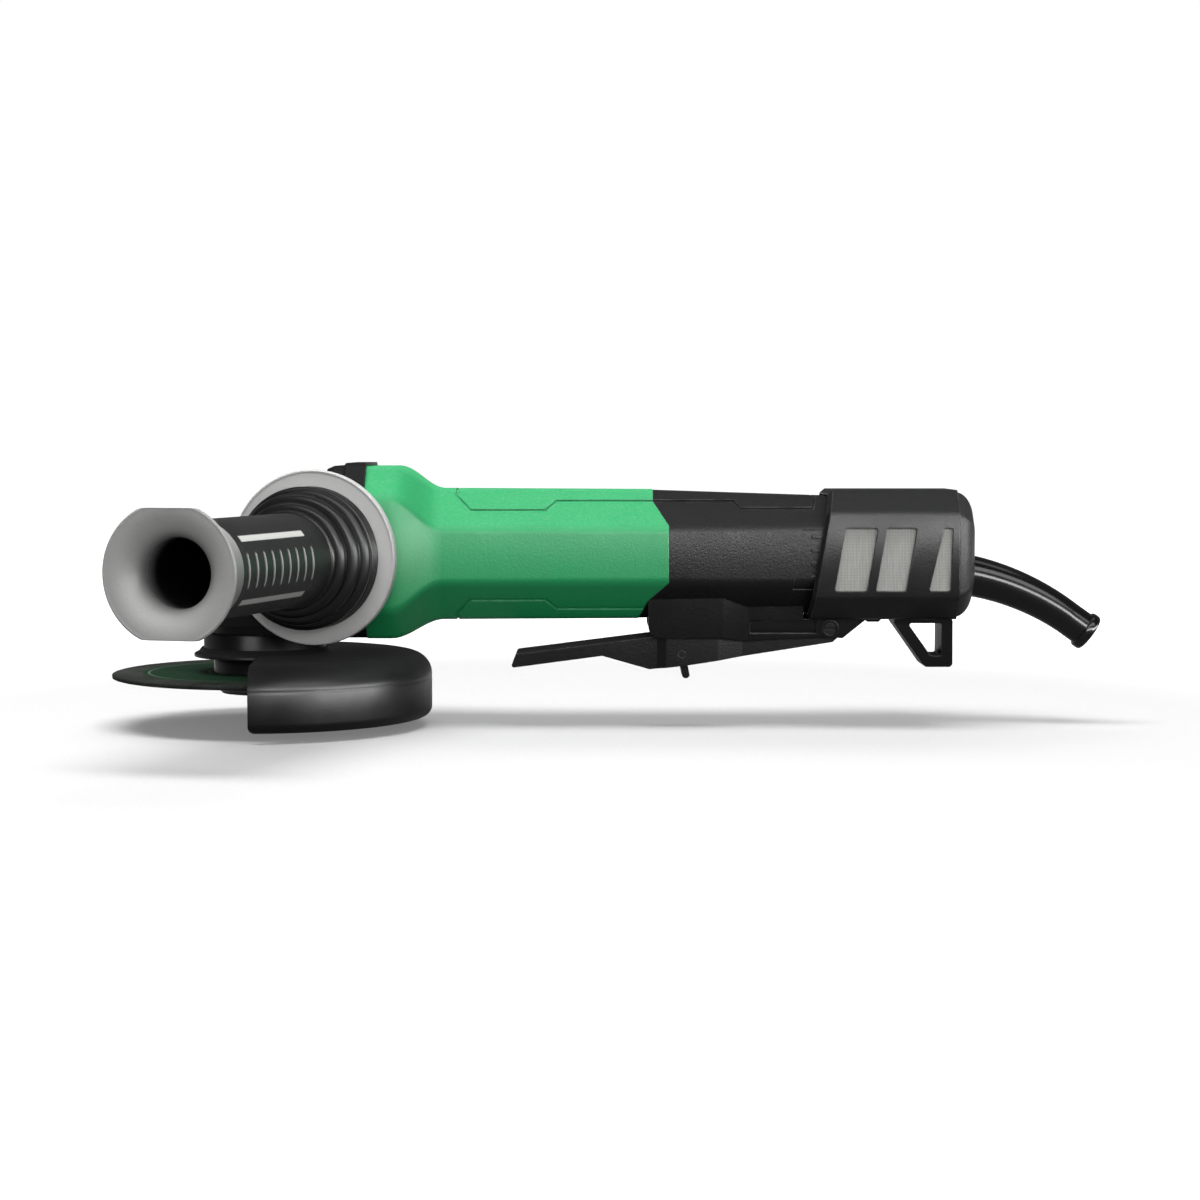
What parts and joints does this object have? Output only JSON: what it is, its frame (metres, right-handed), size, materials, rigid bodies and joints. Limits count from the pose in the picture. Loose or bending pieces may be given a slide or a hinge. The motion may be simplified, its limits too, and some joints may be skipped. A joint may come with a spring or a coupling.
{
  "type": "angle grinder",
  "caption": "Corded paddle-switch angle grinder with a slim barrel, bevel gear head, half-round wheel guard, thin cutting disc, swept side handle, rear dust cover and hanging foot.",
  "frame": {"origin": "on the spindle axis, in the outer face of the clamping nut, where the spindle's free end begins", "axes": "+Z along the spindle axis, up from the disc to the gear case; +X along the tool from the gear head to the cord; the side handle points to -Y"},
  "size_m": [0.4083, 0.2419, 0.1049],
  "materials": {
    "cast_black": "satin black coat on cast aluminium",
    "green_plastic": "satin green plastic",
    "black_plastic": "fine textured black plastic",
    "black_rubber": "soft satin rubber",
    "grey_plastic": "light grey plastic",
    "guard_black": "matte black coat on sheet steel",
    "steel": "turned and plated steel",
    "bearing_steel": "ground bearing steel",
    "bronze": "sintered bronze",
    "felt": "pressed felt",
    "abrasive": "bonded abrasive with a printed label",
    "laminations": "stacked electrical sheet",
    "copper": "enamelled copper wire",
    "mesh": "fine woven wire",
    "aluminium": "bare aluminium",
    "circuit_board": "coated circuit board",
    "lead_sleeve": "insulated wire"
  },
  "bodies": {
    "housing": {"gear_case": "cast_black", "gear_case_screws": "steel", "bearing_cover": "cast_black", "bearing_cover_screws": "steel", "spindle_lower_bearing": "bearing_steel", "spindle_upper_bush": "bronze", "dust_seal": "felt", "handle_bolt": "steel", "handle_flange": "grey_plastic", "handle_damper": "black_rubber", "handle_core": "black_plastic", "handle_grip": "black_rubber", "handle_horn": "grey_plastic", "motor_housing": "green_plastic", "stator_core": "laminations", "stator_windings": "copper", "front_bearing": "bearing_steel", "rear_bearing": "bearing_steel", "rear_bearing_bracket": "black_plastic", "fan_baffle": "black_plastic", "tail_shell_near": "black_plastic", "tail_shell_far": "black_plastic", "tail_screws": "steel", "dust_cover": "black_plastic", "filter_mesh": "mesh", "rear_cap": "black_plastic", "cap_screws": "steel", "cord_guard": "black_rubber", "rest_foot": "black_plastic", "paddle_pivot_pin": "steel", "paddle_spring": "steel", "switch_body": "black_plastic", "controller_tray": "aluminium", "controller_board": "circuit_board", "capacitors": "aluminium", "motor_leads": "lead_sleeve", "lock_spring": "steel"},
    "output_spindle": {"spindle": "steel", "ring_gear": "steel", "wheel_flange": "steel", "cutting_disc": "abrasive", "wheel_nut": "steel"},
    "rotor": {"rotor_shaft": "steel", "rotor_core": "laminations", "rotor_magnets": "laminations", "cooling_fan": "black_plastic", "pinion": "steel", "pinion_nut": "steel"},
    "guard": {"wheel_guard": "guard_black", "guard_band": "guard_black", "guard_clamp_screw": "steel"},
    "spindle_lock": {"lock_button": "black_plastic", "lock_pin": "steel"},
    "paddle": {"paddle_lever": "black_plastic", "lock_off_pin": "steel", "lock_off_spring": "steel"},
    "lock_off": {"lock_off_lever": "black_plastic"},
    "plunger": {"switch_plunger": "black_plastic"}
  },
  "joints": [
    {"name": "spindle_spin", "type": "hinge", "parent": "housing", "child": "output_spindle", "pos_m": [0, 0, 0], "axis": [0, 0, 1], "continuous": true},
    {"name": "rotor_spin", "type": "hinge", "parent": "housing", "child": "rotor", "pos_m": [0, 0, 0.0575], "axis": [1, 0, 0], "continuous": true},
    {"name": "guard_turn", "type": "hinge", "parent": "housing", "child": "guard", "pos_m": [0, 0, 0], "axis": [0, 0, 1], "range_deg": [-90, 90]},
    {"name": "lock_press", "type": "slide", "parent": "housing", "child": "spindle_lock", "axis": [0, 0, -1], "range_m": [0, 0.0035], "stiffness_N_per_m": 600, "springref_m": -0.004, "deforming": ["lock_spring"]},
    {"name": "paddle_squeeze", "type": "hinge", "parent": "housing", "child": "paddle", "pos_m": [0.2326, 0, 0.0272], "axis": [0, 1, 0], "range_deg": [0, 3.4], "stiffness_Nm_per_rad": 3, "springref_deg": -5.73, "deforming": ["paddle_spring"]},
    {"name": "plunger_slide", "type": "slide", "parent": "housing", "child": "plunger", "axis": [0, 0, 1], "range_m": [0, 0.0027]},
    {"name": "lock_off_swing", "type": "hinge", "parent": "paddle", "child": "lock_off", "pos_m": [0.1723, 0, 0.017], "axis": [0, 1, 0], "range_deg": [0, 25], "stiffness_Nm_per_rad": 0.06, "springref_deg": -17.19}
  ],
  "couplings": [
    {"joint": "rotor_spin", "follows": "spindle_spin", "ratio": 3.4545},
    {"joint": "plunger_slide", "follows": "paddle_squeeze", "m_per_rad": 0.0446}
  ]
}
